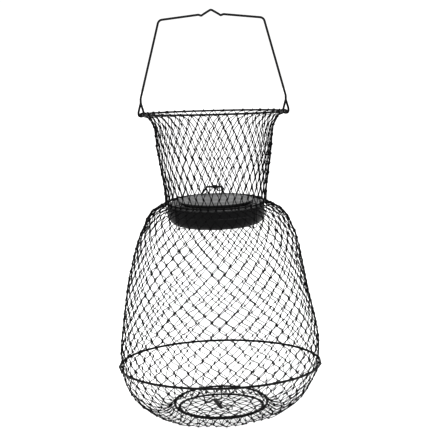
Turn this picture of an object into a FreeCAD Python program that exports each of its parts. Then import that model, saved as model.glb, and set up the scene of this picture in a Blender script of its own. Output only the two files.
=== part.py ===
import FreeCAD, Part
import math
import os

# Collapsible floating wire fish basket.
# Millimetres. Origin: centre of the footprint on the surface it stands on, +Z up,
# -Y towards the front, +X to the right. The rings share the Z axis. All are level but two: the
# waist ring hangs a little low at the front with its float and lid, and the base ring is drawn
# up a little at the back by the netting.

V = FreeCAD.Vector
os.makedirs("parts", exist_ok=True)

# ---- wires ----
HOOP_WIRE = 3.0          # rim, waist, base and door rings
MAIN_WIRE = 3.6          # main hoop
BAIL_WIRE = 3.4
BRACKET_WIRE = 3.0
YOKE_WIRE = 2.0
LACE_WIRE = 1.0          # small closed rings that lace the netting to the hoops
LACE_GAP = 0.1           # between a lacing ring and the hoop it goes round
NET_T = 1.6              # thickness of the netting walls
PANELS = 12              # each netting wall is made as this many panels round the axis
PANEL_GAP = 0.01         # degrees between two panels

# ---- rings: radius of the wire's centre line, height ----
RIM_R, RIM_Z = 117.4, 495.0
WAIST_R, WAIST_Z = 78.6, 350.0
WAIST_TILT = 3.4         # degrees about X, front low: the waist ring and all that is fixed to it
HOOP_R, HOOP_Z = 165.5, 81.0
BASE_R, BASE_Z = 77.0, 8.5
BASE_TILT = 4.6          # degrees about the door's hinge line, back up: the base ring
DOOR_R, DOOR_CY = 69.5, -2.7

# ---- float ----
FLOAT_R, FLOAT_HOLE_R = 79.0, 56.0
FLOAT_TOP, FLOAT_BOTTOM = 348.0, 315.0

# ---- lid ----
LID_WIRE_R, LID_WIRE = 60.2, 1.8
LID_Z = 353.0
LID_SHEET = 1.0
LID_BAR_Y, LID_BAR_Z = 54.5, 366.4      # hinge line of the lid, before the waist's tilt

# ---- bottom door ----
CLIP_X = 25.0
CLIP_MAJOR, CLIP_WIRE = 5.25, 1.4
DOOR_AXIS_Y = (-math.sqrt(BASE_R**2 - CLIP_X**2) + DOOR_CY - math.sqrt(DOOR_R**2 - CLIP_X**2)) / 2
YOKE_A = V(-36.4, math.sqrt(BASE_R**2 - 36.4**2), BASE_Z)   # the yoke's two hooks on the base ring, before its tilt
YOKE_B = V(2.0, math.sqrt(BASE_R**2 - 4.0), BASE_Z)
YOKE_HOOK_R = 3.1

# ---- bail ----
EYE_BELOW = 3.5          # bottom of the eyelet's centre line under the rim wire's centre line
EYE_H, EYE_HALF_W = 21.5, 4.1     # up to where the two sides meet
EYE_NECK, EYE_TAIL = 1.75, 6.2    # half distance of leg and tail above that, one behind the other, and the tail's length
BAIL_PEAK_Z = 659.5


def unit(v):
    w = V(v)
    w.normalize()
    return w


def tipped(shape):
    """The shape as it hangs with the waist ring."""
    s = shape.copy()
    s.rotate(V(0, 0, WAIST_Z), V(1, 0, 0), WAIST_TILT)
    return s


def raised(shape):
    """The shape as it sits with the base ring."""
    s = shape.copy()
    s.rotate(V(0, DOOR_AXIS_Y, BASE_Z), V(1, 0, 0), BASE_TILT)
    return s


def bent(points, radii):
    """Straight runs through the points with a tangent arc at each inner point."""
    edges, last = [], points[0]
    for i in range(1, len(points) - 1):
        p, a, b = points[i], unit(points[i - 1] - points[i]), unit(points[i + 1] - points[i])
        half = a.getAngle(b) / 2
        r = radii[i - 1] if isinstance(radii, (list, tuple)) else radii
        cut = r / math.tan(half)
        s, e = p + a * cut, p + b * cut
        mid = unit(a + b)
        m = p + mid * (r / math.sin(half) - r)
        edges.append(Part.LineSegment(last, s).toShape())
        edges.append(Part.Arc(s, m, e).toShape())
        last = e
    edges.append(Part.LineSegment(last, points[-1]).toShape())
    return Part.Wire(edges)


def rod(points, dia, radii):
    """A round wire bent through the points."""
    path = bent(points, radii)
    circle = Part.Wire([Part.Circle(points[0], unit(points[1] - points[0]), dia / 2).toShape()])
    return path.makePipeShell([circle], True, False)


def straight(a, b, dia):
    return Part.makeCylinder(dia / 2, (b - a).Length, a, b - a)


def hoop(radius, z, dia, cy=0.0):
    return Part.makeTorus(radius, dia / 2, V(0, cy, z), V(0, 0, 1))


def lacing(radius, z, angles, cy=0.0, dia=HOOP_WIRE):
    """Small closed wire rings round a hoop, one at each angle."""
    major = dia / 2 + LACE_GAP + LACE_WIRE / 2
    rings = []
    for a in angles:
        t = math.radians(a)
        rings.append(
            Part.makeTorus(
                major,
                LACE_WIRE / 2,
                V(radius * math.cos(t), cy + radius * math.sin(t), z),
                V(-math.sin(t), math.cos(t), 0),
            )
        )
    return Part.makeCompound(rings)


def coil(a, b, major, wire, pitch):
    """A close-wound coil between two points, as touching turns."""
    d = b - a
    n = max(2, int(round(d.Length / pitch)) + 1)
    turns = [Part.makeTorus(major, wire / 2, a + d * (i / (n - 1.0)), d) for i in range(n)]
    return turns[0].multiFuse(turns[1:])


def stretch(points, first=None, last=None):
    """A smooth curve in the XZ plane through (r, z) points, as samples with their normals."""
    c = Part.BSplineCurve()
    kw = {}
    pts = [V(r, 0, z) for r, z in points]
    if first and last:
        kw = {"InitialTangent": V(first[0], 0, first[1]), "FinalTangent": V(last[0], 0, last[1]), "Scale": True}
    if len(pts) == 2:
        c = Part.LineSegment(pts[0], pts[1])
    else:
        c.interpolate(Points=pts, **kw)
    out = []
    u0, u1 = c.FirstParameter, c.LastParameter
    n = 2 if len(pts) == 2 else 6 * len(pts)
    for i in range(n):
        u = u0 + (u1 - u0) * i / (n - 1.0)
        p = c.value(u)
        t = unit(c.tangent(u)[0])
        out.append((p, V(-t.z, 0, t.x)))
    return out


def wall(bands, t):
    """A thin wall of even thickness turned about Z, as PANELS panels round each band, a hair apart.

    Each band is a list of joined stretches from stretch()."""
    panels = []
    step = 360.0 / PANELS
    for stretches in bands:
        sides = []
        for s in (t / 2, -t / 2):
            side = []
            for st in stretches:
                pts = [p + n * s for p, n in st]
                if len(pts) == 2:
                    side.append(Part.LineSegment(pts[0], pts[1]).toShape())
                else:
                    c = Part.BSplineCurve()
                    c.interpolate(Points=pts)
                    side.append(c.toShape())
            sides.append((side, stretches[0][0][0] + stretches[0][0][1] * s, stretches[-1][-1][0] + stretches[-1][-1][1] * s))
        (sa, a0, a1), (sb, b0, b1) = sides
        edges = list(sa) + [Part.LineSegment(a1, b1).toShape()] + list(sb) + [Part.LineSegment(b0, a0).toShape()]
        face = Part.Face(Part.Wire(Part.__sortEdges__(edges)))
        one = face.revolve(V(0, 0, 0), V(0, 0, 1), step - PANEL_GAP)
        for k in range(PANELS):
            p = one.copy()
            p.rotate(V(0, 0, 0), V(0, 0, 1), step * k)
            panels.append(p)
    return Part.makeCompound(panels)


def bands_of(samples, cuts):
    """The samples of one smooth stretch split at the given indices, a hair apart."""
    out, start = [], 0
    for c in list(cuts) + [len(samples) - 1]:
        part = list(samples[start : c + 1])
        if start:
            (p0, n0), (p1, _) = part[0], part[1]
            part[0] = (p0 + unit(p1 - p0) * 0.03, n0)
        out.append([part])
        start = c
    return out


def nearest(samples, z):
    return min(range(len(samples)), key=lambda i: abs(samples[i][0].z - z))


def keep(name, shape):
    if shape.Volume < 0:
        shape.reverse()
    print("%-20s solids %2d  volume %10.1f  valid %s" % (name, len(shape.Solids), shape.Volume, shape.isValid()))
    shape.exportStep("parts/%s.step" % name)
    return shape


made = {}

# ================= base: bottom bowl and its ring =================
b_outer = stretch([(161.8, 80.0), (160.6, 70.0), (156.0, 56.0), (149.5, 43.0), (142.5, 32.0), (134.0, 22.0), (124.0, 13.4), (113.0, 6.2), (104.0, 2.0), (97.0, 0.8)],
                  (0.0, -1.0), (-1.0, 0.0))
b_flat = stretch([(96.97, 0.8), (88.0, 0.8)])
b_lip = stretch([(88.0, 0.8), (84.2, 2.8), (81.9, 7.6)], (-1.0, 0.0), (-0.25, 1.0))
bowl = bands_of(b_outer, [nearest(b_outer, 43.0), nearest(b_outer, 15.0)]) + [[b_flat, b_lip]]
made["bottom_netting"] = keep("bottom_netting", wall(bowl, NET_T))
made["base_ring"] = keep("base_ring", raised(hoop(BASE_R, BASE_Z, HOOP_WIRE)))
BASE_LACE = [-77.14 + 25.714 * k for k in range(14)]
made["base_lacing"] = keep("base_lacing", raised(lacing(BASE_R, BASE_Z, BASE_LACE)))

# ================= main hoop and the body netting above it =================
side = stretch([(161.8, 82.0), (162.2, 106.0), (157.0, 150.0), (147.2, 204.0), (139.0, 252.0), (129.6, 296.0), (122.0, 314.0), (114.2, 328.6), (103.4, 338.6), (92.2, 344.2), (84.6, 347.2), (83.1, 349.4)],
               (0.0, 1.0), (0.0, 1.0))
body = bands_of(side, [nearest(side, 180.0), nearest(side, 300.0), nearest(side, 333.0)])
made["body_netting"] = keep("body_netting", wall(body, NET_T))
made["main_hoop"] = keep("main_hoop", hoop(HOOP_R, HOOP_Z, MAIN_WIRE))
made["hoop_lacing"] = keep("hoop_lacing", lacing(HOOP_R, HOOP_Z, [4.3 + 360.0 / 28 * k for k in range(28)], dia=MAIN_WIRE))

# ================= waist: ring, float, neck netting =================
made["waist_ring"] = keep("waist_ring", tipped(hoop(WAIST_R, WAIST_Z, HOOP_WIRE)))
made["waist_lacing"] = keep("waist_lacing", tipped(lacing(WAIST_R, WAIST_Z, [-90 + 22.5 * k for k in range(16) if k not in (8, 9)])))

up = stretch([(83.1, 350.8), (83.8, 368.0), (86.0, 388.0), (89.4, 413.0), (92.2, 434.0), (94.4, 452.0), (96.2, 468.0), (99.2, 480.6), (103.6, 486.8), (109.9, 491.0)],
             (0.0, 1.0), (1.0, 0.55))
neck = bands_of(up, [nearest(up, 412.0), nearest(up, 475.0)])
made["neck_netting"] = keep("neck_netting", wall(neck, NET_T))

h = FLOAT_TOP - FLOAT_BOTTOM
fl = Part.makeCylinder(FLOAT_R, h, V(0, 0, FLOAT_BOTTOM)).cut(Part.makeCylinder(FLOAT_HOLE_R, h + 2, V(0, 0, FLOAT_BOTTOM - 1)))


def rim_edge(shape, r, z):
    return [e for e in shape.Edges if isinstance(e.Curve, Part.Circle) and abs(e.Curve.Radius - r) < 1e-3 and abs(e.Curve.Center.z - z) < 1e-3]


fl = fl.makeFillet(15.0, rim_edge(fl, FLOAT_R, FLOAT_BOTTOM))
fl = fl.makeFillet(5.0, rim_edge(fl, FLOAT_HOLE_R, FLOAT_BOTTOM))
fl = fl.makeFillet(4.0, rim_edge(fl, FLOAT_R, FLOAT_TOP))
fl = fl.makeFillet(3.0, rim_edge(fl, FLOAT_HOLE_R, FLOAT_TOP))
made["float_ring"] = keep("float_ring", tipped(fl))

# wire ties that strap the float under the waist ring
TIE = 1.2
tie_pts = [(68.0, 314.2), (55.2, 314.2), (55.2, 348.75), (66.5, 348.75), (76.2, 352.5), (80.75, 352.5), (80.75, 314.2), (68.0, 314.2)]
ties = []
for ang in (-37.0, 37.0, 143.0, 217.0):
    t = math.radians(ang)
    pts = [V(r * math.cos(t), r * math.sin(t), z) for r, z in tie_pts]
    ties.append(rod(pts, TIE, [2.5, 1.8, 4.0, 3.0, 1.8, 2.5]))
made["float_ties"] = keep("float_ties", tipped(Part.makeCompound(ties)))

# hinge bracket of the lid: one bent wire, welded to the waist ring at both ends
br = rod(
    [V(-28, math.sqrt(WAIST_R**2 - 28.0**2), 350.9), V(-25, 62.8, 351.4), V(-14.6, LID_BAR_Y, LID_BAR_Z), V(9.6, LID_BAR_Y, LID_BAR_Z), V(11.0, 61.8, 358.2), V(13.0, 65.4, 351.4), V(16, math.sqrt(WAIST_R**2 - 16.0**2), 350.9)],
    BRACKET_WIRE,
    [3.0, 3.5, 3.0, 4.0, 3.0],
)
curl = rod([V(10.8, 61.2, 359.4), V(6.0, 60.8, 358.6), V(2.6, 59.4, 359.2), V(1.6, 58.6, 362.2)], 1.6, [2.2, 1.6])
made["lid_hinge_bracket"] = keep("lid_hinge_bracket", tipped(br.fuse(curl)))

# ================= lid =================
lid_place = FreeCAD.Placement(V(0, 0, LID_Z), FreeCAD.Rotation())


def on_lid(v):
    return lid_place.multVec(v)


# pressed sheet with a shallow raised field and one bead
s = LID_SHEET
prof = [(0, 1.4), (40, 1.4), (43, 0.2), (48, 0.2), (49.5, 1.0), (51, 0.2), (59.8, 0.0)]
top = [V(r, 0, z + s / 2) for r, z in prof]
low = [V(r, 0, z - s / 2) for r, z in reversed(prof)]
sheet = Part.Face(Part.makePolygon(top + low + [top[0]])).revolve(V(0, 0, 0), V(0, 0, 1), 360)
sheet.Placement = lid_place
made["lid_disc"] = keep("lid_disc", tipped(sheet))

lw = Part.makeTorus(LID_WIRE_R, LID_WIRE / 2)
lw.Placement = lid_place
made["lid_rim_wire"] = keep("lid_rim_wire", tipped(lw))

eyes = []
for x in (-10.5, 6.4):
    ring = Part.makeTorus(2.5, 0.7, V(x, LID_BAR_Y, LID_BAR_Z), V(1, 0, 0))
    foot = on_lid(V(x, 53.2, 0.9))
    knee = V(x, LID_BAR_Y - 0.4, foot.z + 2.6)
    post = rod([V(x, LID_BAR_Y, LID_BAR_Z - 2.5), knee, foot, on_lid(V(x, 42.5, 1.25))], 1.4, [6.0, 1.2])
    eyes.append(ring.fuse(post))
made["lid_hinge_eyes"] = keep("lid_hinge_eyes", tipped(Part.makeCompound(eyes)))

SPR = 1.2
c = coil(V(-4.6, LID_BAR_Y, LID_BAR_Z), V(2.6, LID_BAR_Y, LID_BAR_Z), 2.5, SPR, 1.05)
leg = rod(
    [V(-4.6, LID_BAR_Y - 0.65, LID_BAR_Z - 2.4), V(-5.2, LID_BAR_Y - 3.2, LID_BAR_Z - 6.6), on_lid(V(-17.0, 48.5, 5.0)), on_lid(V(-21.0, 44.0, 1.9)), on_lid(V(-24.0, 36.0, 1.9))],
    SPR,
    [1.5, 2.5, 2.0],
)
made["lid_spring"] = keep("lid_spring", tipped(c.fuse(leg)))

# ================= rim and bail =================
made["rim_ring"] = keep("rim_ring", hoop(RIM_R, RIM_Z, HOOP_WIRE))
made["rim_lacing"] = keep("rim_lacing", lacing(RIM_R, RIM_Z, [15.0 + 150.0 / 9 * k + 180.0 * m for m in (0, 1) for k in range(10)]))

z0 = RIM_Z - EYE_BELOW                       # hinge line of the bail
cx_, cz_ = 84.2, 644.6                        # the two upper corners
ex = RIM_R - 0.1                              # the eyelets' middle


def eyelet(sgn):
    """Teardrop: the tail behind the leg, down the outer side, under the rim wire and up the inner side into the leg."""
    up_ = z0 + EYE_H
    return [
        V(sgn * (ex + 0.2), EYE_NECK, up_ + EYE_TAIL), V(sgn * (ex + 0.2), EYE_NECK, up_),
        V(sgn * (ex + EYE_HALF_W), 0, z0 + 7.0), V(sgn * (ex + EYE_HALF_W), 0, z0),
        V(sgn * (ex - EYE_HALF_W), 0, z0), V(sgn * (ex - EYE_HALF_W), 0, z0 + 7.0),
        V(sgn * (ex - 0.2), -EYE_NECK, up_), V(sgn * (ex - 0.2), -EYE_NECK, up_ + EYE_TAIL + 1.0),
    ]


left, right_ = eyelet(-1), eyelet(1)
crown = [
    V(-cx_, 0, cz_), V(-20.0, 0, 651.6), V(-15.6, 0, 649.9), V(-11.6, 0, 652.6), V(0, 0, BAIL_PEAK_Z),
    V(11.6, 0, 652.6), V(15.6, 0, 649.9), V(20.0, 0, 651.6), V(cx_, 0, cz_),
]
eye_r = [8.0, 10.0, 3.6, 3.6, 10.0, 8.0]
bail = rod(left + crown + right_[::-1], BAIL_WIRE, eye_r + [6.0] + [8.0, 3.0, 1.8, 3.0, 4.0, 3.0, 1.8, 3.0, 8.0] + [6.0] + eye_r)
made["bail_handle"] = keep("bail_handle", bail)

# ================= bottom door =================
made["door_ring"] = keep("door_ring", hoop(DOOR_R, BASE_Z, HOOP_WIRE, DOOR_CY))
DOOR_LACE = [-38.0, -12.0, 14.0, 40.0, 64.0, 86.0 + 22.0, 136.0, 164.0, 192.0, 218.0]
made["door_lacing"] = keep("door_lacing", lacing(DOOR_R, BASE_Z, DOOR_LACE, DOOR_CY))
made["door_netting"] = keep("door_netting", Part.makeCylinder(65.8, NET_T, V(0, DOOR_CY, BASE_Z - NET_T / 2)))

yb = -math.sqrt(BASE_R**2 - CLIP_X**2)
yd = DOOR_CY - math.sqrt(DOOR_R**2 - CLIP_X**2)
assert abs(DOOR_AXIS_Y - (yb + yd) / 2) < 1e-9
print("door axis y", DOOR_AXIS_Y, "z", BASE_Z)
clips = [Part.makeTorus(CLIP_MAJOR, CLIP_WIRE / 2, V(x, DOOR_AXIS_Y, BASE_Z), V(1, 0, 0)) for x in (-CLIP_X, CLIP_X)]
made["door_hinge_clips"] = keep("door_hinge_clips", Part.makeCompound(clips))

# latch yoke: one wire hooked on the base ring at two places
tip_up = FreeCAD.Placement(V(0, 0, 0), FreeCAD.Rotation(V(1, 0, 0), BASE_TILT), V(0, DOOR_AXIS_Y, BASE_Z))
YOKE_A, YOKE_B = tip_up.multVec(YOKE_A), tip_up.multVec(YOKE_B)
ax = unit(YOKE_B - YOKE_A)
print("yoke axis", ax, "at", (YOKE_A + YOKE_B) * 0.5)
side_in = V(ax.y, -ax.x, 0)                  # level, square to the axis, towards the middle
ya = YOKE_A + V(0, 0, YOKE_HOOK_R)
yb_ = YOKE_B + V(0, 0, YOKE_HOOK_R)
yoke = rod(
    [ya, V(-24.9, -4.5, 13.2), V(-12.7, 8.1, 16.2), V(-5.9, 4.6, 16.0), V(0.4, 17.0, 14.4), yb_],
    YOKE_WIRE,
    [3.0, 2.5, 2.5, 4.0],
)
for p in (YOKE_A, YOKE_B):
    yoke = yoke.fuse(Part.makeTorus(YOKE_HOOK_R, YOKE_WIRE / 2, p, ax))
made["door_yoke"] = keep("door_yoke", yoke)

SA, SB = V(-9.4, 2.6, 15.6), V(0.6, -34.6, 13.4)
spring = coil(SA, SB, 2.7, SPR, 1.06)
d = unit(SA - SB)
across = unit(V(0, 0, 1).cross(d))
spring = spring.fuse(straight(SA - across * 2.7, SA, SPR)).fuse(Part.makeSphere(SPR / 2, SA)).fuse(straight(SA, SA + d * 3.6, SPR))
spring = spring.fuse(Part.makeTorus(1.9, SPR / 2, SA + d * 5.2, across)).fuse(straight(SB - across * 2.7, SB + across * 2.7, SPR))
made["door_spring"] = keep("door_spring", spring)

hook = rod([SB + d * 6.0, V(1.2, -39.0, 13.0), V(5.0, -22.4, 12.6), V(17.8, -18.0, 12.3), V(17.8, -31.0, 12.0), V(17.8, -32.4, 10.4)], 1.8, [1.6, 2.2, 2.2, 1.0])
made["door_hook"] = keep("door_hook", hook)

whole = Part.makeCompound(list(made.values()))
b = whole.optimalBoundingBox()
print("box", b.XMin, b.XMax, b.YMin, b.YMax, b.ZMin, b.ZMax)
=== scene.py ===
import math

import bpy
import numpy as np
from mathutils import Matrix, Vector, noise


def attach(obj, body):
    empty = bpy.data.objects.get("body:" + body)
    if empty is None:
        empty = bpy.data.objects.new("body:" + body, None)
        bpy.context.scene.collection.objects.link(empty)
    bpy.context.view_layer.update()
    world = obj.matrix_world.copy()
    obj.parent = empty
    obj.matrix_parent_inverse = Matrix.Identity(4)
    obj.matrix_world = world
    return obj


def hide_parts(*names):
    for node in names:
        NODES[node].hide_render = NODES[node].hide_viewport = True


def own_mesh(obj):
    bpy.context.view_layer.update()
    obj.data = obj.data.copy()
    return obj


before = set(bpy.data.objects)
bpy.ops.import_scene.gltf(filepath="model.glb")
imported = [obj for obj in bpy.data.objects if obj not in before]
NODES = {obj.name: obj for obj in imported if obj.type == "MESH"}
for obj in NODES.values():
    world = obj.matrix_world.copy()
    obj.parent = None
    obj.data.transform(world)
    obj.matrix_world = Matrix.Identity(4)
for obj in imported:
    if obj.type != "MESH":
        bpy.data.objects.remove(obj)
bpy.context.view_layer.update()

SCENE = bpy.context.scene
MM = 0.001

# ------------------------------------------------------------------ camera
cam_data = bpy.data.cameras.new("camera")
cam_data.sensor_width = 36.0
cam_data.lens = 95.3
cam_data.clip_start, cam_data.clip_end = 0.05, 200.0
camera = bpy.data.objects.new("camera", cam_data)
SCENE.collection.objects.link(camera)
pitch, roll = math.radians(6.9), math.radians(1.5)
forward = Vector((0, math.cos(pitch), -math.sin(pitch)))
right, up = Vector((1, 0, 0)), Vector((0, math.sin(pitch), math.cos(pitch)))
right2 = right * math.cos(roll) - up * math.sin(roll)
up2 = up * math.cos(roll) + right * math.sin(roll)
basis = Matrix((right2, up2, -forward)).transposed().to_4x4()
camera.matrix_world = Matrix.Translation((0.0059, -1.893, 0.5485)) @ basis
SCENE.camera = camera


# ------------------------------------------------------------------ materials
def new_material(name):
    m = bpy.data.materials.new(name)
    m.use_nodes = True
    nt = m.node_tree
    nt.nodes.clear()
    out = nt.nodes.new("ShaderNodeOutputMaterial")
    sh = nt.nodes.new("ShaderNodeBsdfPrincipled")
    nt.links.new(sh.outputs["BSDF"], out.inputs["Surface"])
    return m, nt, sh


def coords(nt, scale=(1, 1, 1)):
    tc = nt.nodes.new("ShaderNodeTexCoord")
    mp = nt.nodes.new("ShaderNodeMapping")
    mp.inputs["Scale"].default_value = scale
    nt.links.new(tc.outputs["Object"], mp.inputs["Vector"])
    return mp.outputs["Vector"]


def noise_tex(nt, vec, scale, detail=4.0, rough=0.55, distortion=0.0):
    n = nt.nodes.new("ShaderNodeTexNoise")
    n.inputs["Scale"].default_value = scale
    n.inputs["Detail"].default_value = detail
    n.inputs["Roughness"].default_value = rough
    n.inputs["Distortion"].default_value = distortion
    nt.links.new(vec, n.inputs["Vector"])
    return n.outputs["Fac"]


def ramp(nt, fac, stops):
    r = nt.nodes.new("ShaderNodeValToRGB")
    el = r.color_ramp.elements
    while len(el) < len(stops):
        el.new(0.5)
    for e, (p, c) in zip(el, stops):
        e.position = p
        e.color = (c, c, c, 1.0) if isinstance(c, (int, float)) else (*c, 1.0)
    nt.links.new(fac, r.inputs["Fac"])
    return r.outputs["Color"]


def math_node(nt, op, a, b=None):
    n = nt.nodes.new("ShaderNodeMath")
    n.operation = op
    for i, v in enumerate((a, b)):
        if v is None:
            continue
        if isinstance(v, (int, float)):
            n.inputs[i].default_value = v
        else:
            nt.links.new(v, n.inputs[i])
    return n.outputs["Value"]


def mix(nt, fac, a, b):
    n = nt.nodes.new("ShaderNodeMix")
    n.data_type = "RGBA"
    nt.links.new(fac, n.inputs[0])
    for sock, v in ((n.inputs[6], a), (n.inputs[7], b)):
        if isinstance(v, tuple):
            sock.default_value = (*v, 1.0)
        else:
            nt.links.new(v, sock)
    return n.outputs[2]


def bump(nt, height, strength, distance, normal=None):
    b = nt.nodes.new("ShaderNodeBump")
    b.inputs["Strength"].default_value = strength
    b.inputs["Distance"].default_value = distance
    nt.links.new(height, b.inputs["Height"])
    if normal is not None:
        nt.links.new(normal, b.inputs["Normal"])
    return b.outputs["Normal"]


def painted_wire(name, dark, light, wear, rough=(0.36, 0.56), specular=0.4, wear_from=0.7):
    """Steel wire with a dull black coating: uneven film, fine orange peel, a few rubbed spots."""
    m, nt, sh = new_material(name)
    v = coords(nt)
    film = noise_tex(nt, v, 60.0, 5.0, 0.6)
    base = ramp(nt, film, [(0.3, dark), (0.7, light)])
    rub = noise_tex(nt, v, 210.0, 6.0, 0.65)
    mask = ramp(nt, rub, [(wear_from, 0.0), (wear_from + 0.06, 1.0)])
    nt.links.new(mix(nt, mask, base, wear), sh.inputs["Base Color"])
    r = ramp(nt, noise_tex(nt, v, 130.0, 4.0), [(0.3, rough[0]), (0.7, rough[1])])
    nt.links.new(r, sh.inputs["Roughness"])
    sh.inputs["Specular IOR Level"].default_value = specular
    n1 = bump(nt, noise_tex(nt, v, 900.0, 3.0), 0.25, 0.0002)
    n2 = bump(nt, film, 0.2, 0.0004, n1)
    nt.links.new(n2, sh.inputs["Normal"])
    return m


def steel(name, dark, light, rough, metallic):
    """Oiled spring wire: a fine mottled tone, fine bumps and a little tarnish."""
    m, nt, sh = new_material(name)
    v = coords(nt)
    t = noise_tex(nt, v, 380.0, 5.0, 0.6)
    nt.links.new(ramp(nt, t, [(0.3, dark), (0.72, light)]), sh.inputs["Base Color"])
    nt.links.new(ramp(nt, noise_tex(nt, v, 700.0, 3.0), [(0.3, rough[0]), (0.7, rough[1])]), sh.inputs["Roughness"])
    sh.inputs["Metallic"].default_value = metallic
    nt.links.new(bump(nt, noise_tex(nt, v, 1500.0, 3.0), 0.3, 0.0001), sh.inputs["Normal"])
    return m


M_HOOP = painted_wire("hoop_wire", (0.004, 0.004, 0.0045), (0.009, 0.009, 0.0095), (0.03, 0.028, 0.026), specular=0.16)
M_BAIL = painted_wire("bail_wire", (0.004, 0.004, 0.0045), (0.010, 0.010, 0.0105), (0.045, 0.04, 0.036), specular=0.18, wear_from=0.68)
M_NET = painted_wire("netting_wire", (0.0025, 0.0025, 0.003), (0.006, 0.006, 0.0065), (0.016, 0.015, 0.014), (0.5, 0.7), 0.07, 0.72)
M_LACE = painted_wire("lacing_wire", (0.003, 0.003, 0.0035), (0.008, 0.008, 0.0085), (0.025, 0.023, 0.021), (0.45, 0.65), 0.12)
M_LID_WIRE = painted_wire("lid_wire", (0.042, 0.042, 0.043), (0.075, 0.075, 0.077), (0.13, 0.13, 0.13), specular=0.25)
M_SPRING = steel("spring_wire", (0.012, 0.012, 0.013), (0.05, 0.048, 0.045), (0.3, 0.5), 0.6)


def foam_material():
    """Black closed-cell foam: small cells, a slight skin, light grey on top (dust plus a painted sheen of reflected
    light) and a few pressed marks.
    """
    m, nt, sh = new_material("foam")
    v = coords(nt)
    cells = nt.nodes.new("ShaderNodeTexVoronoi")
    cells.inputs["Scale"].default_value = 900.0
    nt.links.new(v, cells.inputs["Vector"])
    cell = cells.outputs["Distance"]
    coarse = nt.nodes.new("ShaderNodeTexVoronoi")
    coarse.inputs["Scale"].default_value = 320.0
    nt.links.new(v, coarse.inputs["Vector"])
    blotch = noise_tex(nt, v, 26.0, 6.0, 0.6)
    streak = noise_tex(nt, coords(nt, (1.0, 1.0, 0.18)), 140.0, 4.0, 0.6)
    base = ramp(nt, blotch, [(0.3, (0.002, 0.002, 0.0024)), (0.7, (0.005, 0.005, 0.0055))])
    geo = nt.nodes.new("ShaderNodeNewGeometry")
    sep = nt.nodes.new("ShaderNodeSeparateXYZ")
    nt.links.new(geo.outputs["Normal"], sep.inputs["Vector"])
    # upward-facing surfaces are painted light grey: dust plus a painted reflection of the bright surroundings seen at a
    # grazing angle
    upward = ramp(nt, sep.outputs["Z"], [(0.25, 0.0), (0.9, 1.0)])
    dust_and_sheen = math_node(nt, "MULTIPLY", upward, ramp(nt, streak, [(0.25, 0.5), (0.75, 1.0)]))
    c = mix(nt, dust_and_sheen, base, (0.21, 0.21, 0.214))
    scuff = ramp(nt, noise_tex(nt, coords(nt, (1.0, 1.0, 0.35)), 75.0, 7.0, 0.7), [(0.62, 0.0), (0.70, 0.45)])
    c = mix(nt, scuff, c, (0.022, 0.022, 0.023))
    nt.links.new(c, sh.inputs["Base Color"])
    nt.links.new(ramp(nt, blotch, [(0.3, 0.36), (0.7, 0.58)]), sh.inputs["Roughness"])
    sh.inputs["Specular IOR Level"].default_value = 0.18
    n1 = bump(nt, cell, 0.35, 0.0003)
    n2 = bump(nt, coarse.outputs["Distance"], 0.2, 0.0005, n1)
    n3 = bump(nt, blotch, 0.35, 0.0012, n2)
    nt.links.new(n3, sh.inputs["Normal"])
    return m


M_FOAM = foam_material()


def lid_material():
    """Grey coated sheet steel: faint spangle, fine scratches, darker dirt in random patches."""
    m, nt, sh = new_material("lid_sheet")
    v = coords(nt)
    sp = nt.nodes.new("ShaderNodeTexVoronoi")
    sp.inputs["Scale"].default_value = 150.0
    nt.links.new(v, sp.inputs["Vector"])
    g = nt.nodes.new("ShaderNodeSeparateColor")
    nt.links.new(sp.outputs["Color"], g.inputs["Color"])
    spangle = ramp(nt, g.outputs["Red"], [(0.0, (0.130, 0.131, 0.133)), (1.0, (0.156, 0.157, 0.159))])
    dirt = noise_tex(nt, v, 45.0, 7.0, 0.62)
    c = mix(nt, ramp(nt, dirt, [(0.45, 0.0), (0.8, 0.7)]), spangle, (0.066, 0.065, 0.064))
    sc = noise_tex(nt, coords(nt, (1.0, 14.0, 1.0)), 120.0, 3.0, 0.5, 0.4)
    scratch = ramp(nt, sc, [(0.66, 0.0), (0.7, 0.6)])
    c = mix(nt, scratch, c, (0.15, 0.15, 0.15))
    nt.links.new(c, sh.inputs["Base Color"])
    sh.inputs["Metallic"].default_value = 0.15
    nt.links.new(ramp(nt, dirt, [(0.3, 0.38), (0.75, 0.62)]), sh.inputs["Roughness"])
    sh.inputs["Specular IOR Level"].default_value = 0.45
    n1 = bump(nt, sc, 0.12, 0.0002)
    n2 = bump(nt, noise_tex(nt, v, 700.0, 3.0), 0.15, 0.0002, n1)
    nt.links.new(n2, sh.inputs["Normal"])
    return m


M_LID = lid_material()


def give(obj, material):
    obj.data.materials.clear()
    obj.data.materials.append(material)


for n in ("base_ring", "main_hoop", "waist_ring", "rim_ring", "door_ring", "lid_hinge_bracket", "lid_hinge_eyes"):
    give(NODES[n], M_HOOP)
give(NODES["bail_handle"], M_BAIL)
for n in ("base_lacing", "hoop_lacing", "waist_lacing", "rim_lacing", "door_lacing", "float_ties", "door_hinge_clips"):
    give(NODES[n], M_LACE)
for n in ("door_yoke", "door_hook"):
    give(NODES[n], M_HOOP)
give(NODES["lid_disc"], M_LID)
give(NODES["lid_rim_wire"], M_LID_WIRE)


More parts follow.
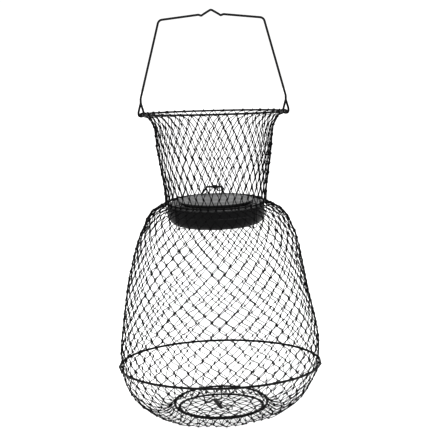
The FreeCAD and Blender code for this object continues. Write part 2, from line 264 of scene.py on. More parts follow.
# ------------------------------------------------------------------ mesh tools
def mesh_object(name, verts, quads, ngons, material):
    """verts (n,3) in millimetres, quads (m,4), ngons a list of equal-length loops."""
    verts = np.asarray(verts, np.float32) * MM
    quads = np.asarray(quads, np.int32).reshape(-1, 4)
    ngons = np.asarray(ngons, np.int32)
    me = bpy.data.meshes.new(name)
    me.vertices.add(len(verts))
    me.vertices.foreach_set("co", verts.ravel())
    nloops = quads.size + ngons.size
    loops = np.concatenate([quads.ravel(), ngons.ravel()]).astype(np.int32)
    me.loops.add(nloops)
    me.loops.foreach_set("vertex_index", loops)
    npoly = len(quads) + len(ngons)
    me.polygons.add(npoly)
    starts = np.arange(len(quads)) * 4
    if len(ngons):
        starts = np.concatenate([starts, quads.size + np.arange(len(ngons)) * ngons.shape[1]])
    me.polygons.foreach_set("loop_start", starts.astype(np.int32))
    me.polygons.foreach_set("use_smooth", np.ones(npoly, bool))
    me.update(calc_edges=True)
    me.validate()
    ob = bpy.data.objects.new(name, me)
    SCENE.collection.objects.link(ob)
    me.materials.append(material)
    return ob


def unit(a):
    return a / np.maximum(np.linalg.norm(a, axis=-1, keepdims=True), 1e-12)


def tubes(paths, radius, sides, trim=0, start_normal=None):
    """paths (W,P,3). Round wires with flat ends. With trim, the first and last points only give the direction there."""
    W, P, _ = paths.shape
    tan = np.empty_like(paths)
    tan[:, 1:-1] = unit(paths[:, 2:] - paths[:, 1:-1]) + unit(paths[:, 1:-1] - paths[:, :-2])
    tan[:, 0] = paths[:, 1] - paths[:, 0]
    tan[:, -1] = paths[:, -1] - paths[:, -2]
    tan = unit(tan)
    if start_normal is None:
        start_normal = np.where(np.abs(tan[:, :1, 2:]) < 0.9, np.array([[[0, 0, 1.0]]]), np.array([[[1.0, 0, 0]]]))[:, 0]
    nrm = np.empty_like(paths)
    n = start_normal - (start_normal * tan[:, 0]).sum(-1, keepdims=True) * tan[:, 0]
    n = unit(n)
    nrm[:, 0] = n
    for i in range(1, P):
        n = n - (n * tan[:, i]).sum(-1, keepdims=True) * tan[:, i]
        n = unit(n)
        nrm[:, i] = n
    bi = np.cross(tan, nrm)
    if trim:
        paths, nrm, bi = paths[:, trim:-trim], nrm[:, trim:-trim], bi[:, trim:-trim]
        P = paths.shape[1]
    a = np.arange(sides) * 2 * np.pi / sides
    rad = np.broadcast_to(np.asarray(radius, float), (W, P))[..., None, None]
    v = paths[:, :, None] + rad * (np.cos(a)[:, None] * nrm[:, :, None] + np.sin(a)[:, None] * bi[:, :, None])
    idx = np.arange(W * P * sides).reshape(W, P, sides)
    nxt = np.roll(idx, -1, axis=2)
    q = np.stack([idx[:, :-1], nxt[:, :-1], nxt[:, 1:], idx[:, 1:]], -1).reshape(-1, 4)
    caps = np.concatenate([idx[:, 0, ::-1], idx[:, -1]])
    return v.reshape(-1, 3), q, caps


def join(parts):
    """Several (verts, quads, caps) as one."""
    vs, qs, cs, off = [], [], [], 0
    for v, q, c in parts:
        vs.append(v)
        qs.append(q + off)
        cs.append(c + off)
        off += len(v)
    return np.concatenate(vs), np.concatenate(qs), np.concatenate(cs)


def hermite(p0, m0, p1, m1, fs):
    """Points at fs between p0 and p1; arrays (...,3) in, (...,F,3) out."""
    f = np.asarray(fs)[:, None]
    h00, h10 = 2 * f**3 - 3 * f**2 + 1, f**3 - 2 * f**2 + f
    h01, h11 = -2 * f**3 + 3 * f**2, f**3 - f**2
    return h00 * p0[..., None, :] + h10 * m0[..., None, :] + h01 * p1[..., None, :] + h11 * m1[..., None, :]


def smooth_curve(pts, n_per=16, closed=False):
    """Catmull-Rom through the points, chord-length spaced, as a dense polyline."""
    p = np.asarray(pts, float)
    out = []
    for i in range(len(p) - 1):
        p0, p1, p2 = p[max(i - 1, 0)], p[i], p[i + 1]
        p3 = p[min(i + 2, len(p) - 1)]
        d01, d12, d23 = (max(np.linalg.norm(b - a), 1e-9) for a, b in ((p0, p1), (p1, p2), (p2, p3)))
        m1 = (p2 - p1) - d12 * ((p2 - p0) / (d01 + d12) - (p1 - p0) / d01) if i else (p2 - p1)
        m2 = (p2 - p1) + d12 * ((p3 - p2) / d23 - (p3 - p1) / (d12 + d23)) if i + 2 < len(p) else (p2 - p1)
        fs = np.arange(n_per) / n_per
        out.append(hermite(p1, m1, p2, m2, fs))
    out.append(p[-1:][:])
    return np.concatenate(out)


class Waves:
    """A smooth field, periodic in angle, from a few cosines."""

    def __init__(self, seed, terms=14, m_max=9, v_scale=1.0, power=0.5):
        r = np.random.RandomState(seed)
        self.m = r.randint(0, m_max + 1, terms)
        self.w = r.uniform(-1, 1, terms) * v_scale
        self.p = r.uniform(0, 2 * np.pi, terms)
        self.a = 1.0 / (1.0 + self.m) ** power
        self.a /= np.sqrt((self.a**2).sum() / 2)

    def __call__(self, theta, v):
        theta, v = np.asarray(theta)[..., None], np.asarray(v)[..., None]
        return (self.a * np.cos(self.m * theta + self.w * v + self.p)).sum(-1)


# ------------------------------------------------------------------ the netting
NET_N = 42                     # meshes round the basket
DTH = 2 * math.pi / NET_N
TH0 = DTH / 2
WIRE = 0.67                    # radius of the netting wire
THICK = 0.20                   # paint that fills a knot adds this much to it
TWIST_R = 0.80                 # the two wires of a knot run this far off its axis
KNOT = 3.3                     # length of a knot
BOTTOM_ROWS, BODY_ROWS, NECK_ROWS = 8, 24, 9
ROWS = BOTTOM_ROWS + BODY_ROWS + NECK_ROWS + 1       # knot rows, counted from the base ring

PROFILE_BOTTOM = [(89.0, 1.4), (96.4, 1.35), (103.2, 1.9), (111.8, 5.4), (122.6, 12.4), (132.4, 21.0), (140.9, 31.2), (148.4, 42.6), (155.6, 55.8), (160.4, 70.0), (162.0, 81.0)]
PROFILE_BODY = [(162.0, 81.0), (163.0, 100.0), (162.0, 120.0), (157.2, 150.0), (149.2, 195.0), (144.3, 225.0), (139.2, 254.0), (133.3, 284.0), (129.0, 299.0), (121.8, 314.0), (114.2, 328.8), (103.5, 338.6), (92.2, 344.2), (85.0, 347.6), (82.3, 350.0)]
PROFILE_NECK = [(82.3, 350.0), (83.0, 366.0), (85.2, 384.0), (87.8, 400.0), (90.0, 417.0), (92.2, 432.0), (93.8, 447.0), (95.2, 462.0), (96.6, 473.0), (99.2, 481.0), (104.0, 486.8)]


def stretch_profile(pts, rows):
    """Splits a meridian curve into rows whose spacing follows the diamond's height at that radius."""
    c = smooth_curve(np.array(pts, float), 60)
    seg = np.linalg.norm(np.diff(c, axis=0), axis=1)
    s = np.concatenate([[0], np.cumsum(seg)])
    mid_r = (c[1:, 0] + c[:-1, 0]) / 2
    h = np.sqrt(np.maximum(16.8**2 - (np.pi * mid_r / NET_N) ** 2, 30.0))
    cum = np.concatenate([[0], np.cumsum(seg / h)])
    want = np.arange(rows + 1) * cum[-1] / rows
    at = np.interp(want, cum, s)
    r, z = np.interp(at, s, c[:, 0]), np.interp(at, s, c[:, 1])
    return r, z


def all_rows():
    rb, zb = stretch_profile(PROFILE_BOTTOM, BOTTOM_ROWS)
    rm, zm = stretch_profile(PROFILE_BODY, BODY_ROWS)
    rn, zn = stretch_profile(PROFILE_NECK, NECK_ROWS)
    r = np.concatenate([rb, rm[1:], rn[1:]])
    z = np.concatenate([zb, zm[1:], zn[1:]])
    return r, z


ROW_R, ROW_Z = all_rows()
J0, J27 = BOTTOM_ROWS, BOTTOM_ROWS + BODY_ROWS       # rows on the main hoop and on the waist ring


def build_knots():
    rng = np.random.RandomState(4177)
    i = np.arange(ROWS)
    k = np.arange(NET_N)
    theta = TH0 + DTH * (k[None] + 0.5 * (i[:, None] % 2))
    # meridian direction at each row
    dr, dz = np.gradient(ROW_R), np.gradient(ROW_Z)
    for j in (J0, J27):                                # keep the knots on the hoops upright
        dr[j], dz[j] = 0.0, 1.0
    ln = np.hypot(dr, dz)
    dr, dz = dr / ln, dz / ln
    # how uneven each row is, in millimetres
    row_sigma = np.interp(i, [0, 2, J0 - 3, J0 - 1, J0, J0 + 1, J0 + 5, J0 + 12, J27 - 5, J27 - 2, J27, J27 + 2, ROWS - 3, ROWS - 1],
                          [0.7, 1.6, 1.5, 0.9, 0.2, 0.35, 0.35, 0.3, 0.5, 0.6, 0.2, 0.35, 0.35, 0.3])
    fade = np.ones(ROWS)
    for j, w in ((0, 2.0), (J0, 4.0), (J27, 4.0), (ROWS - 1, 3.0)):
        fade = np.minimum(fade, np.abs(i - j) / w)
    fade = np.clip(fade, 0, 1)
    lumps = Waves(11, 16, 7, 0.45)(theta, i[:, None])
    drift = Waves(23, 16, 8, 0.35)(theta, i[:, None])
    slide = Waves(37, 16, 8, 0.35)(theta, i[:, None])
    lump_amp = np.interp(i, [0, 5, J0, J0 + 6, J27 - 4, J27, ROWS - 1], [0.8, 1.6, 1.2, 1.5, 1.5, 0.8, 0.9])[:, None]
    dn = lumps * lump_amp * fade[:, None] + rng.normal(0, 1, theta.shape) * row_sigma[:, None] * 0.45
    du = drift * 1.1 * fade[:, None] + rng.normal(0, 1, theta.shape) * row_sigma[:, None] * 0.8
    ds = slide * 1.0 * fade[:, None] + rng.normal(0, 1, theta.shape) * row_sigma[:, None] * 0.8
    dent = np.clip(np.cos(theta + math.radians(38)), 0, 1) ** 1.5 * np.interp(i, [0, 2, J0 - 2, J0], [3.5, 5.5, 2.5, 0.0])[:, None]
    dn -= dent                                          # the bowl is pushed in a little on its right front
    for j in (J0, J27):
        dn[j] *= 0.25
        ds[j] = 0.0
    r = ROW_R[:, None] + ds * dr[:, None] + dn * dz[:, None]
    z = ROW_Z[:, None] + ds * dz[:, None] - dn * dr[:, None]
    low = WIRE + THICK + TWIST_R + 0.08
    z = np.maximum(z, low)
    th = theta + du / np.maximum(r, 1)
    ct, st = np.cos(th), np.sin(th)
    c = np.stack([r * ct, r * st, z], -1)
    e_t = np.stack([-st, ct, np.zeros_like(st)], -1)
    e_r = np.stack([ct, st, np.zeros_like(st)], -1)
    e_z = np.array([0, 0, 1.0])
    t = dr[:, None, None] * e_r + dz[:, None, None] * e_z
    n = dz[:, None, None] * e_r - dr[:, None, None] * e_z
    lean = Waves(51, 18, 7, 0.16)(theta, i[:, None]) * 2.0 + rng.normal(0, 0.25, theta.shape)
    lean_amp = np.interp(i, [0, J0, J0 + 3, J27 - 7, J27 - 4, J27 - 1, J27 + 2, ROWS - 3, ROWS - 1], [18, 20, 34, 34, 12, 8, 30, 30, 16])[:, None]
    tilt = np.radians(lean_amp) * np.tanh(lean)
    tilt[[J0, J27]] *= 0.4
    cs, sn = np.cos(tilt)[..., None], np.sin(tilt)[..., None]
    t2, u2 = cs * t + sn * e_t, cs * e_t - sn * t
    nod = np.radians(rng.normal(0, 5, theta.shape))[..., None]
    nod[[J0, J27]] = 0
    t3, n3 = np.cos(nod) * t2 + np.sin(nod) * n, np.cos(nod) * n - np.sin(nod) * t2
    length = KNOT * rng.uniform(0.85, 1.2, theta.shape)
    return dict(c=c, t=t3, u=u2, n=n3, len=length, theta=theta)


K = build_knots()
HALF = np.array([0.2, 0.4, 0.6, 0.8, 1.0])
STRAND = np.array([0.2, 0.5, 0.8])


def knot_points(sel, f, sign):
    """Points of one wire inside its knots, at parts f of half the knot's length; sel picks the knots."""
    c, t, u, n, ln = (K[x][sel] for x in ("c", "t", "u", "n", "len"))
    phi = np.radians((90.0 if sign > 0 else 270.0) + 270.0 * f)
    s = ln[..., None, None] * 0.5 * f[:, None]
    return (c[..., None, :] + s * t[..., None, :]
            + TWIST_R * (np.cos(phi)[:, None] * u[..., None, :] + np.sin(phi)[:, None] * n[..., None, :]))


def family(sign):
    """The wires that climb to the right (+1) or to the left (-1): their knots, and the points along them.
    Returns points (W, n, 3) and the index of each knot's middle."""
    i = np.arange(ROWS)
    w = np.arange(NET_N)
    if sign > 0:
        k = (w[:, None] + (i - i % 2) // 2) % NET_N
    else:
        k = (w[:, None] - (i + i % 2) // 2) % NET_N
    sel = (np.broadcast_to(i, k.shape), k)
    f = np.concatenate([-HALF[::-1], [0.0], HALF])
    kp = knot_points(sel, f, sign)                                     # W, ROWS, 11, 3
    t, u, n = (K[x][sel] for x in ("t", "u", "n"))
    start, end = kp[:, :-1, -1], kp[:, 1:, 0]
    D = end - start
    L = np.linalg.norm(D, axis=-1, keepdims=True)
    dh = D / np.maximum(L, 1e-9)
    curl = np.interp(i[:-1], [0, J0 - 2, J0 + 2, J27 - 7, J27 - 4, J27 - 1, J27 + 1], [0.6, 0.5, 0.2, 0.2, 0.7, 0.7, 0.25])[None, :, None]
    m0 = unit(curl * t[:, :-1] + dh) * L * 0.95
    m1 = unit(curl * t[:, 1:] + dh) * L * 0.95
    st = hermite(start, m0, end, m1, STRAND)                           # W, ROWS-1, 3, 3
    rng = np.random.RandomState(900 + sign)
    wob = rng.normal(0, 1, (NET_N, ROWS - 1, 1, 2))
    row_w = np.interp(np.arange(ROWS - 1), [0, J0 - 3, J0, J27 - 4, ROWS - 1], [0.7, 0.7, 0.2, 0.15, 0.12])[None, :, None, None]
    shape = np.array([0.55, 1.0, 0.55])[None, None, :, None]
    st = st + shape * row_w * (wob[..., :1] * n[:, :-1][:, :, None] + wob[..., 1:] * u[:, :-1][:, :, None])
    st[..., 2] = np.maximum(st[..., 2], WIRE + 0.08)
    body = np.concatenate([kp[:, :-1], st], axis=2).reshape(NET_N, -1, 3)
    pts = np.concatenate([body, kp[:, -1]], axis=1)
    knot_r = WIRE + THICK * (1 - f**2)
    slim = np.interp(i[:-1], [0, J0 - 2, J0 + 1, J27 - 1, J27 + 1, ROWS - 2], [0.17, 0.15, 0.0, 0.0, 0.05, 0.06])
    rad = np.concatenate([np.concatenate([knot_r - 0.5 * d, np.full(len(STRAND), WIRE - d)]) for d in slim] + [knot_r - 0.03])
    mids = i * (2 * len(HALF) + 1 + len(STRAND)) + len(HALF)
    return pts, mids, sel, rad


def ring_point(R, z, rad, psi, th, shift):
    """A point on the surface round a hoop's wire: psi round the wire's section, th round the hoop, shift in millimetres along it."""
    psi = np.radians(psi)
    a = th[..., None] + np.asarray(shift) / R
    q = R + rad * np.cos(psi)
    return np.stack([q * np.cos(a), q * np.sin(a), np.broadcast_to(z + rad * np.sin(psi), a.shape)], -1)


WAIST_TILT = math.radians(3.4)


def hang(p):
    """The waist ring hangs low at the front: the netting next to it goes with it."""
    w = np.clip(1.0 - np.abs(p[..., 2] - 350.0) / 95.0, 0, 1)
    w = w * w * (3 - 2 * w)
    out = p.copy()
    out[..., 2] += p[..., 1] * math.sin(WAIST_TILT) * w
    return out


def tipped(p):
    """The waist ring's tilt, for what is fixed to it."""
    p = np.asarray(p, float)
    y, z = p[..., 1], p[..., 2] - 350.0
    c, n = math.cos(WAIST_TILT), math.sin(WAIST_TILT)
    return np.stack([p[..., 0], y * c - z * n, 350.0 + y * n + z * c], -1)


BASE_TILT = math.radians(4.6)
DOOR_AXIS_Y = -70.188


def draw_up(p):
    """The base ring sits high at the back: the loops on it and the netting next to it rise with it."""
    r = np.hypot(p[..., 0], p[..., 1])
    w = np.clip((98.0 - r) / (98.0 - 79.5), 0, 1)
    w = w * w * (3 - 2 * w) * (p[..., 2] < 40.0)
    back = p[..., 1] - DOOR_AXIS_Y
    up_ = back * math.sin(BASE_TILT) - (p[..., 2] - 8.5) * (1 - math.cos(BASE_TILT))
    in_ = -back * (1 - math.cos(BASE_TILT)) - (p[..., 2] - 8.5) * math.sin(BASE_TILT)
    out = p.copy()
    out[..., 2] += up_ * w
    out[..., 1] += in_ * w
    return out


def with_loops(pts, sel, sign):
    """Adds to each wire half of the loop that holds the netting on the base ring, and half of the one on the rim."""
    wrap = 1.5 + WIRE - 0.15 + 0.04
    k_top, k_bot = sel[1][:, -1], sel[1][:, 0]
    odd = (ROWS - 1) % 2
    # rim
    th = TH0 + DTH * (k_top + 0.5 * odd + 0.5 * sign)
    y = 117.4 * np.sin(th)                              # the loops next to the handle's eyes stand clear of them
    th = th + np.sign(y) * np.sign(np.cos(th)) * 4.2 * np.clip(1 - (np.abs(y) - 9.0) / 6.0, 0, 1) / 117.4
    if sign > 0:
        psi = np.array([215, 185, 155, 122, 90.0])
        sh = np.array([-1.7, -1.3, -0.9, -0.4, 0.0])
    else:
        psi = np.array([-125, -80, -35, 10, 52, 90.0])
        sh = np.array([2.3, 1.9, 1.4, 0.9, 0.45, 0.0])
    loop = ring_point(117.4, 495.0, wrap, psi, th, sh)
    p0, p1 = pts[:, -1], loop[:, 0]
    L = np.linalg.norm(p1 - p0, axis=-1, keepdims=True)
    t = K["t"][-1][k_top]
    m0 = unit(0.6 * t + 0.6 * (p1 - p0) / L) * L
    m1 = unit(unit(loop[:, 1] - loop[:, 0]) + 0.7 * (p1 - p0) / L) * L
    top = np.concatenate([hermite(p0, m0, p1, m1, [0.25, 0.5, 0.75]), loop], axis=1)
    # base ring
    th = TH0 + DTH * (k_bot - 0.5 * sign)
    d = (th + 1.5 * np.pi) % (2 * np.pi) - np.pi         # and those that the open door comes down on stand clear of it
    th = th + np.sign(d) * ((np.abs(d) > 0.30) & (np.abs(d) < 0.45)) * 3.0 / 77.0
    if sign > 0:
        psi = np.array([180, 142, 106, 70, 38.0])
        sh = np.array([0.0, 0.45, 0.9, 1.3, 1.7])
    else:
        psi = np.array([180, 218, 254, 286, 312.0])
        sh = -np.array([0.0, 0.45, 0.9, 1.3, 1.7])
    loop = ring_point(77.0, 8.5, wrap, psi, th, sh)
    p0, p1 = loop[:, -1], pts[:, 0]
    L = np.linalg.norm(p1 - p0, axis=-1, keepdims=True)
    t = K["t"][0][k_bot]
    m0 = unit(unit(loop[:, -1] - loop[:, -2]) + 0.6 * (p1 - p0) / L) * L * 0.9
    m1 = unit(0.7 * t + 0.6 * (p1 - p0) / L) * L * 0.9
    low = np.concatenate([loop, hermite(p0, m0, p1, m1, [0.25, 0.5, 0.75])], axis=1)
    full = np.concatenate([low, pts, top], axis=1)
    full = draw_up(full)
    full[..., 2] = np.maximum(full[..., 2], WIRE + THICK + 0.06)
    return hang(full), low.shape[1]


FIRST = 1                      # the ring of knots that stays flat on the ground when the bowl folds
LAST = ROWS - 1                # the ring of knots that stays with the rim when the neck folds


def net_pieces():
    fam = {}
    for sign in (1, -1):
        pts, mids, sel, rad = family(sign)
        full, off = with_loops(pts, sel, sign)
        ends = np.full(full.shape[1] - off - len(rad), WIRE - 0.15)
        fam[sign] = (full, mids + off, sel, np.concatenate([np.full(off, WIRE - 0.15), rad, ends]))
    # body: every wire from the hoop to the waist, in two halves
    split = J0 + 12
    for name, a, b in (("body_netting_lower", J0, split), ("body_netting_upper", split, J27)):
        parts = []
        for sign in (1, -1):
            full, mids, _, rad = fam[sign]
            parts.append(tubes(full[:, mids[a] - 1 : mids[b] + 2], rad[mids[a] : mids[b] + 1], 6, trim=1))
        yield name, join(parts)
    # neck: from the last ring of knots up one wire, over the rim and down the next, and the rest below it
    right, mr, sr, rr_ = fam[1]
    left, ml, sl, rl_ = fam[-1]
    order = np.argsort(sl[1][:, -1])                              # left wire that has knot k in the top row
    mate = order[(sr[1][:, -1] + 1) % NET_N]
    up_, dn_ = right[:, mr[LAST] - 1 :], left[mate][:, ml[LAST] - 1 :]
    path = np.concatenate([up_, dn_[:, ::-1][:, 1:]], axis=1)
    rad = np.concatenate([rr_[mr[LAST] - 1 :], rl_[ml[LAST] - 1 :][::-1][1:]])[1:-1]
    yield "neck_netting_loops", tubes(path, rad, 6, trim=1)
    parts = []
    for sign in (1, -1):
        full, mids, _, rad = fam[sign]
        parts.append(tubes(full[:, mids[J27] - 1 : mids[LAST] + 2], rad[mids[J27] : mids[LAST] + 1], 6, trim=1))
    yield "neck_netting_wires", join(parts)
    # bottom: down one wire, round the base ring and up the next, as far as the first ring of knots
    order = np.argsort(sl[1][:, 0])
    mate = order[(sr[1][:, 0] - 1) % NET_N]
    a_, b_ = right[:, : mr[FIRST] + 2], left[mate][:, : ml[FIRST] + 2]
    path = np.concatenate([a_[:, ::-1], b_[:, 1:]], axis=1)
    rad = np.concatenate([rr_[: mr[FIRST] + 2][::-1], rl_[1 : ml[FIRST] + 2]])[1:-1]
    yield "bottom_netting_loops", tubes(path, rad, 6, trim=1)
    # and from there up to the main hoop
    parts = []
    for sign in (1, -1):
        full, mids, _, rad = fam[sign]
        parts.append(tubes(full[:, mids[FIRST] - 1 : mids[J0] + 2], rad[mids[FIRST] : mids[J0] + 1], 6, trim=1))
    yield "bottom_netting_wires", join(parts)


NETS = {}
for name, (v, q, c) in net_pieces():
    NETS[name] = mesh_object(name, v, q, c, M_NET)

for name, body, node, joint, anchor, keep in (
    ("body_netting_lower", "hoop", "body_netting", "waist_slide", 0.081, 0.047 / 0.269),
    ("body_netting_upper", "hoop", "body_netting", "waist_slide", 0.081, 0.047 / 0.269),
    ("neck_netting_wires", "waist", "neck_netting", "rim_slide", 0.350, 0.0018 / 0.1368),
    ("neck_netting_loops", "rim", "neck_netting", None, 0.0, 1.0),
    ("bottom_netting_wires", "base", "bottom_netting", "hoop_slide", 0.0019, 0.0131 / 0.0791),
    ("bottom_netting_loops", "base", "bottom_netting", None, 0.0, 1.0),
):
    ob = NETS[name]
    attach(ob, body)
    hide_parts(node)
    if joint:
        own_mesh(ob)


# ------------------------------------------------------------------ netting of the bottom door
def door_net():
    R, cy, z0 = 69.5, -2.7, 8.5
    W, H = 21.0, 12.8
    rng = np.random.RandomState(77)
    sag = Waves(5, 10, 4, 1.0)
    knots = {}

    def knot(j, m):
        """m counts half columns, so that j + m is even."""
        if (j, m) not in knots:
            x = m * W / 2 + rng.normal(0, 1.5)
            y = j * H + rng.normal(0, 1.3)
            rr = math.hypot(x, y)
            zz = z0 - 1.0 - 0.7 * abs(float(sag(math.atan2(y, x), rr / 40.0))) * min(1.0, max(0.0, (66 - rr) / 30)) + rng.normal(0, 0.15)
            tilt = math.radians(26) * math.tanh(rng.normal(0, 1.1))
            t = np.array([math.sin(tilt), math.cos(tilt), 0.0])
            u = np.array([math.cos(tilt), -math.sin(tilt), 0.0])
            knots[j, m] = (np.array([x, y + cy, zz]), t, u, np.array([0, 0, 1.0]), 3.4 * rng.uniform(0.85, 1.15))
        return knots[j, m]

    def inside(j, m):
        return math.hypot(m * W / 2, j * H) < 62.0

    paths = []
    wrap = 1.5 + WIRE + 0.06
    for sign in (1, -1):
        for w in range(-30, 31):
            cells = [(j, w * 2 + sign * j) for j in range(-12, 13) if inside(j, w * 2 + sign * j)]
            if not cells:
                continue
            pts, last = [], None
            for j, m in cells:
                c, t, u, n, ln = knot(j, m)
                f = np.array([-1, -0.75, -0.5, -0.25, 0, 0.25, 0.5, 0.75, 1.0])
                phi = np.radians((90.0 if sign > 0 else 270.0) + 270.0 * f)
                p = c + (ln * 0.5 * f)[:, None] * t + TWIST_R * (np.cos(phi)[:, None] * u + np.sin(phi)[:, None] * n)
                if last is not None:
                    d = p[0] - last[0]
                    L = np.linalg.norm(d)
                    pts.append(hermite(last[0], unit(0.7 * last[1] + 0.7 * d / L) * L, p[0], unit(0.7 * t + 0.7 * d / L) * L, [0.2, 0.5, 0.8]))
                pts.append(p)
                last = (p[-1], t)
            pts = np.concatenate(pts)
            # both ends go on to the door ring and turn round it
            ends = []
            for at_start in (True, False):
                j, m = cells[0] if at_start else cells[-1]
                step = -1 if at_start else 1
                here = np.array([m * W / 2, j * H])
                d = np.array([sign * W / 2, H]) * step
                d = d / np.linalg.norm(d)
                b = here @ d
                run = -b + math.sqrt(max(b * b - here @ here + R * R, 0.0))
                hit = here + d * run
                th = math.atan2(hit[1], hit[0]) + rng.normal(0, 0.01)
                psi = np.radians([250, 285, 320, 355, 35, 75, 115, 155, 195, 230, 262.0])
                sh = np.linspace(0, 1.9, len(psi)) * (1 if rng.rand() < 0.5 else -1)
                a = th + sh / R
                q = R + wrap * np.cos(psi)
                loop = np.stack([q * np.cos(a), q * np.sin(a) + cy, z0 + wrap * np.sin(psi)], -1)
                p0 = pts[0] if at_start else pts[-1]
                t0 = -knot(j, m)[1] if at_start else knot(j, m)[1]
                dd = loop[0] - p0
                L = np.linalg.norm(dd)
                lead = hermite(p0, unit(0.6 * t0 + 0.7 * dd / L) * L, loop[0], unit(unit(loop[1] - loop[0]) + 0.6 * dd / L) * L, [0.2, 0.4, 0.6, 0.8])
                e = np.concatenate([lead, loop])
                ends.append(e[::-1] if at_start else e)
            paths.append(np.concatenate([ends[0], pts, ends[1]]))
    parts = [tubes(p[None], WIRE - 0.14, 6) for p in paths]
    return join(parts)


v, q, c = door_net()
door_netting = mesh_object("door_netting_wires", v, q, c, M_NET)
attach(door_netting, "door")
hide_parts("door_netting")


# ------------------------------------------------------------------ float
def float_mesh():
    R, r0, zb, zt = 79.0, 56.0, 315.0, 348.0

    def arc(cx, cz, rad, a0, a1, n):
        a = np.radians(np.linspace(a0, a1, n))
        return [(cx + rad * math.cos(x), cz + rad * math.sin(x)) for x in a]

    prof = []
    prof += arc(R - 15.0, zb + 15.0, 15.0, -90, 0, 26)
    seam = [332.4, 332.9, 333.3, 333.6, 333.9, 334.3, 334.8]
    prof += [(R, z) for z in (331.4,)] + [(R + o, z) for z, o in zip(seam, (0, 0.12, 0.32, 0.42, 0.32, 0.12, 0))]
    prof += [(R, z) for z in (336.2, 337.8, 339.4, 341.0, 342.6)]
    prof += arc(R - 4, zt - 4, 4, 0, 90, 12)
    prof += [(r, zt) for r in (73.5, 72.0, 70.5, 69.0, 67.5, 66.0, 64.5, 63.0, 61.5, 60.2)]
    prof += arc(r0 + 3, zt - 3, 3, 90, 180, 9)
    prof += [(r0, z) for z in (343.2, 341.4, 339.6, 337.8, 336.0, 334.2, 332.4, 330.6, 328.8, 327.0, 325.2, 323.4, 321.6)]
    prof += arc(r0 + 5, zb + 5, 5, 180, 270, 11)
    prof += [(62.2, zb), (63.1, zb)]
    prof = np.array(prof)
    nxt, prv = np.roll(prof, -1, 0), np.roll(prof, 1, 0)
    tan = unit(nxt - prv)
    nor = np.stack([tan[:, 1], -tan[:, 0]], -1)
    N = 480
    th = np.arange(N) * 2 * np.pi / N
    P = len(prof)
    wob = Waves(91, 16, 9, 1.0)
    disp = np.zeros((N, P))
    for k in range(P):
        v_ = k * 0.13
        disp[:, k] = 0.35 * wob(th, np.full(N, v_))
    # slow moulding dents and small pits
    rr, zz = prof[:, 0], prof[:, 1]
    co = np.stack([np.cos(th)[:, None] * rr, np.sin(th)[:, None] * rr, np.broadcast_to(zz, (N, P))], -1)
    fine = np.empty((N, P))
    for a in range(N):
        for b in range(P):
            x, y, z = co[a, b]
            fine[a, b] = noise.fractal(Vector((x * 0.09, y * 0.09, z * 0.09)), 0.9, 2.1, 4)
    disp += 0.38 * fine
    # the ties press into the top and bottom edges
    for ang in (-37.0, 37.0, 143.0, 217.0):
        d = (th - math.radians(ang) + np.pi) % (2 * np.pi) - np.pi
        arc_mm = d[:, None] * rr[None]
        dent = np.exp(-((arc_mm / 1.6) ** 2)) * 0.55 + np.exp(-((arc_mm / 6.0) ** 2)) * 0.25
        edge = np.clip(1 - np.abs(zz - zt) / 6, 0, 1) + np.clip(1 - np.abs(zz - zb) / 8, 0, 1)
        disp -= dent * edge[None]
    rad = rr[None] + nor[None, :, 0] * disp
    z = zz[None] + nor[None, :, 1] * disp
    v = tipped(np.stack([rad * np.cos(th)[:, None], rad * np.sin(th)[:, None], z], -1)).reshape(-1, 3)
    idx = np.arange(N * P).reshape(N, P)
    a, b = idx, np.roll(idx, -1, 0)
    q = np.stack([a, b, np.roll(b, -1, 1), np.roll(a, -1, 1)], -1).reshape(-1, 4)
    return v, q


v, q = float_mesh()
float_ring = mesh_object("float_foam", v, q, np.zeros((0, 4), int), M_FOAM)
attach(float_ring, "waist")
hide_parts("float_ring")


# ------------------------------------------------------------------ springs
def vec(*a):
    return np.array(a, float)


def coil_points(a, b, e1, e2, radius, turns, per_turn=20, phase=0.0, taper=None):
    n = int(round(turns * per_turn)) + 1
    f = np.linspace(0, 1, n)
    ph = phase + f * turns * 2 * np.pi
    rad = np.full(n, radius) if taper is None else taper(f)
    return a + f[:, None] * (b - a) + rad[:, None] * (np.cos(ph)[:, None] * e1 + np.sin(ph)[:, None] * e2)


SPRING_R = 0.6
# door spring: tightened on the hook's shank at the front, an end loop round the yoke at the back
SA, SB = vec(-9.4, 2.6, 15.6), vec(0.6, -34.6, 13.4)
d = unit(SA - SB)
across = unit(np.cross([0, 0, 1.0], d))
third = np.cross(d, across)
length = np.linalg.norm(SA - SB)
turns = round(length / 1.235)
coil_len = turns * 1.235
front = SA - d * coil_len
pts = coil_points(front, SA, across, third, 2.7, turns, taper=lambda f: np.interp(f * coil_len, [0.0, 1.3, 4.6, coil_len], [1.56, 1.56, 2.7, 2.7]))
lead = smooth_curve([pts[-1], SA + d * 1.1 + across * 2.2 + third * 1.3, SA + d * 2.2 + across * 0.9 + third * 0.9, SA + d * 3.3], 6)[1:]
psi = np.radians(np.arange(14, 330, 14))
loop = (SA + d * 5.2) - 1.9 * np.cos(psi)[:, None] * d + 1.9 * np.sin(psi)[:, None] * third
loop = loop + np.linspace(0, 1.0, len(psi))[:, None] * across
path = np.concatenate([pts, lead, loop])
v, q, c = tubes(path[None], SPRING_R, 10)
door_spring = mesh_object("door_spring_coil", v, q, c, M_SPRING)
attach(door_spring, "latch")
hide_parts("door_spring")

# lid spring: turns on the bracket's bar, the long leg bears on the lid, the short one on the bracket's curl
BAR_Y, BAR_Z = 54.5, 366.4


def on_lid(x, y, z):
    return vec(x, y, 353.0 + z)


ey, ez = vec(0, 1, 0), vec(0, 0, 1)
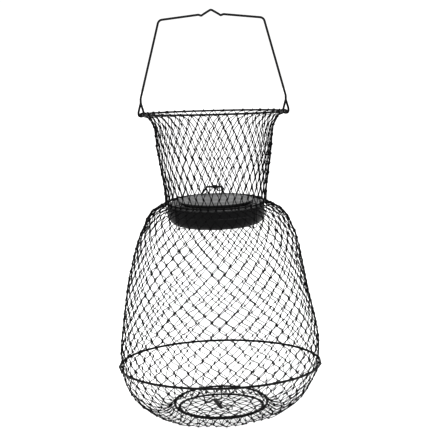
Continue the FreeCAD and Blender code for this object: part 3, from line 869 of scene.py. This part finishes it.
# long leg leaves the coil on its front-lower side
pts = coil_points(vec(-4.6, BAR_Y, BAR_Z), vec(1.36, BAR_Y, BAR_Z), -ey, ez, 2.5, 4.8, 24, phase=0.0)
leg = smooth_curve([on_lid(-24.0, 36.0, 1.95), on_lid(-22.2, 41.0, 1.95), on_lid(-19.6, 45.6, 2.9), vec(-15.0, 48.9, 357.2), vec(-8.8, 50.2, 360.0), vec(-5.3, 51.4, 363.2)], 7)
path = tipped(np.concatenate([leg, pts]))
v, q, c = tubes(path[None], SPRING_R, 10)
lid_spring = mesh_object("lid_spring_coil", v, q, c, M_SPRING)
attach(lid_spring, "lid")
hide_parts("lid_spring")

ph0 = 4.8 * 2 * math.pi
pts = coil_points(vec(1.36, BAR_Y, BAR_Z), vec(2.9, BAR_Y, BAR_Z), -ey, ez, 2.5, 1.25, 24, phase=ph0)
tail = smooth_curve([pts[-1], pts[-1] + vec(0.15, 1.1, -0.9), vec(3.3, 58.0, 362.3), vec(3.4, 60.0, 359.65), vec(3.4, 62.2, 359.4)], 6)[1:]
v, q, c = tubes(tipped(np.concatenate([pts, tail]))[None], SPRING_R, 10)
lid_tail = mesh_object("lid_spring_tail", v, q, c, M_SPRING)
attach(lid_tail, "waist")

# ------------------------------------------------------------------ stage and light
me = bpy.data.meshes.new("floor")
n_seg = 96
ring = [(60.0 * math.cos(2 * math.pi * i / n_seg), 60.0 * math.sin(2 * math.pi * i / n_seg), 0.0) for i in range(n_seg)]
me.from_pydata(ring, [], [list(range(n_seg))])
floor = bpy.data.objects.new("floor", me)
SCENE.collection.objects.link(floor)
fm, nt, sh = new_material("floor_white")
sh.inputs["Base Color"].default_value = (0.92, 0.92, 0.92, 1)
sh.inputs["Roughness"].default_value = 0.9
sh.inputs["Specular IOR Level"].default_value = 0.0
sh.inputs["Emission Color"].default_value = (1, 1, 1, 1)
sh.inputs["Emission Strength"].default_value = 0.35
me.materials.append(fm)

world = bpy.data.worlds.new("studio")
SCENE.world = world
world.use_nodes = True
bg = world.node_tree.nodes["Background"]
bg.inputs["Color"].default_value = (1.0, 1.0, 1.0, 1.0)
bg.inputs["Strength"].default_value = 1.05


def area(name, loc, target, size, energy):
    ld = bpy.data.lights.new(name, "AREA")
    ld.shape = "RECTANGLE"
    ld.size, ld.size_y = size
    ld.energy = energy
    ob = bpy.data.objects.new(name, ld)
    SCENE.collection.objects.link(ob)
    ob.location = loc
    ob.rotation_mode = "QUATERNION"
    ob.rotation_quaternion = (Vector(target) - Vector(loc)).to_track_quat("-Z", "Y")
    return ob


area("key", (-1.6, -1.7, 2.4), (0, 0, 0.3), (1.6, 1.2), 30.0)
area("fill", (1.9, -1.2, 1.4), (0, 0, 0.3), (1.4, 1.4), 12.0)
area("back", (0.4, 2.2, 2.2), (0, 0, 0.3), (1.8, 1.0), 16.0)

SCENE.view_settings.view_transform = "Standard"
SCENE.view_settings.look = "None"
SCENE.view_settings.exposure = 0.0
SCENE.view_settings.gamma = 0.8
